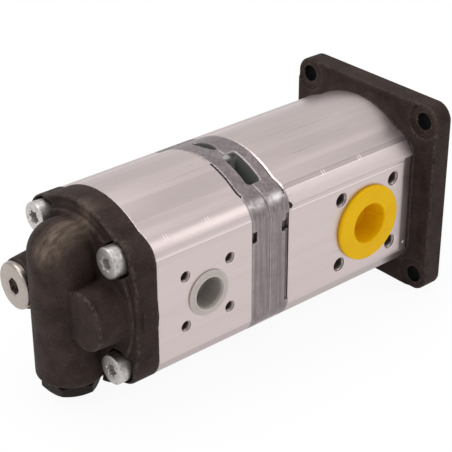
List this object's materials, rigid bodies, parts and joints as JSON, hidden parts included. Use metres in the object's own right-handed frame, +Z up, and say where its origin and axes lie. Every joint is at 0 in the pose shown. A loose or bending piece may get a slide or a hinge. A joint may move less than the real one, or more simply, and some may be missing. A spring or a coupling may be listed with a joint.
{
  "type": "hydraulic gear pump",
  "caption": "Tandem external gear pump: cast iron flange and rear valve cover, two aluminium gear housings with plates between, long through-screws, and plugged oil ports.",
  "frame": {"origin": "on the drive shaft's axis, in the plane of the flange's mounting face", "axes": "+X along the drive shaft, out of the mounting face; +Z up; the pressure ports face -Y"},
  "size_m": [0.273, 0.107, 0.1136],
  "materials": {
    "cast_iron": "dark brown-black phosphated casting, satin with a sandy grain",
    "housing_aluminium": "satin extruded aluminium with faint die lines",
    "plate_aluminium": "darker die-cast aluminium",
    "screw_steel": "grey zinc plating",
    "plain_steel": "plain steel",
    "ground_steel": "ground and hardened steel",
    "seal_rubber": "black moulded rubber",
    "block_aluminium": "turned aluminium",
    "bush_bronze": "bronze-backed bearing lining",
    "backup_plastic": "natural nylon",
    "hex_plug_steel": "blackened steel",
    "zinc_steel": "bright zinc plating",
    "clear_plastic": "milky translucent polyethylene",
    "yellow_plastic": "yellow moulded polyethylene"
  },
  "bodies": {
    "casing": {"front_cover": "cast_iron", "front_housing": "housing_aluminium", "front_plate": "plate_aluminium", "rear_plate": "plate_aluminium", "rear_housing": "housing_aluminium", "rear_cover": "cast_iron", "long_screws": "screw_steel", "dowel_pins": "plain_steel", "shaft_seal": "seal_rubber", "snap_ring": "plain_steel", "block_a": "block_aluminium", "block_b": "block_aluminium", "block_c": "block_aluminium", "block_d": "block_aluminium", "bushes_a": "bush_bronze", "bushes_b": "bush_bronze", "bushes_c": "bush_bronze", "bushes_d": "bush_bronze", "block_seal_a": "seal_rubber", "block_seal_b": "seal_rubber", "block_seal_c": "seal_rubber", "block_seal_d": "seal_rubber", "backup_ring_a": "backup_plastic", "backup_ring_b": "backup_plastic", "backup_ring_c": "backup_plastic", "backup_ring_d": "backup_plastic", "front_cover_seal": "seal_rubber", "front_plate_seal": "seal_rubber", "rear_plate_seal": "seal_rubber", "rear_cover_seal": "seal_rubber", "plate_ring": "seal_rubber", "valve_spring": "plain_steel", "hex_plug": "hex_plug_steel", "hex_plug_seal": "seal_rubber", "relief_seat": "plain_steel", "relief_spring": "plain_steel", "relief_plug": "zinc_steel", "relief_plug_seal": "zinc_steel"},
    "drive_train": {"front_drive_gear": "ground_steel", "shaft_key": "plain_steel", "coupling_sleeve": "ground_steel", "rear_drive_gear": "ground_steel"},
    "front_idler": {"front_idler_gear": "ground_steel"},
    "rear_idler": {"rear_idler_gear": "ground_steel"},
    "spool": {"valve_spool": "ground_steel"},
    "poppet": {"relief_poppet": "ground_steel"},
    "front_pressure_cap": {"front_port_plug": "yellow_plastic"},
    "rear_pressure_cap": {"rear_port_plug": "clear_plastic"},
    "front_suction_cap": {"front_suction_plug": "yellow_plastic"},
    "rear_suction_cap": {"rear_suction_plug": "yellow_plastic"}
  },
  "joints": [
    {"name": "drive_spin", "type": "hinge", "parent": "casing", "child": "drive_train", "pos_m": [0, 0, 0], "axis": [1, 0, 0], "continuous": true},
    {"name": "front_idler_spin", "type": "hinge", "parent": "casing", "child": "front_idler", "pos_m": [0, 0, -0.036], "axis": [1, 0, 0], "continuous": true},
    {"name": "rear_idler_spin", "type": "hinge", "parent": "casing", "child": "rear_idler", "pos_m": [0, 0, -0.036], "axis": [1, 0, 0], "continuous": true},
    {"name": "spool_slide", "type": "slide", "parent": "casing", "child": "spool", "axis": [0, 0, -1], "range_m": [0, 0.006], "stiffness_N_per_m": 2500, "springref_m": -0.004, "deforming": ["valve_spring"]},
    {"name": "poppet_slide", "type": "slide", "parent": "casing", "child": "poppet", "axis": [-1, 0, 0], "range_m": [0, 0.002], "stiffness_N_per_m": 1500, "springref_m": -0.003, "deforming": ["relief_spring"]},
    {"name": "front_port_plug_pull", "type": "slide", "parent": "casing", "child": "front_pressure_cap", "axis": [0, -1, 0], "range_m": [0, 0.02]},
    {"name": "rear_port_plug_pull", "type": "slide", "parent": "casing", "child": "rear_pressure_cap", "axis": [0, -1, 0], "range_m": [0, 0.02]},
    {"name": "front_suction_plug_pull", "type": "slide", "parent": "casing", "child": "front_suction_cap", "axis": [0, 1, 0], "range_m": [0, 0.02]},
    {"name": "rear_suction_plug_pull", "type": "slide", "parent": "casing", "child": "rear_suction_cap", "axis": [0, 1, 0], "range_m": [0, 0.02]}
  ],
  "couplings": [
    {"joint": "front_idler_spin", "follows": "drive_spin", "ratio": -1},
    {"joint": "rear_idler_spin", "follows": "drive_spin", "ratio": -1}
  ]
}
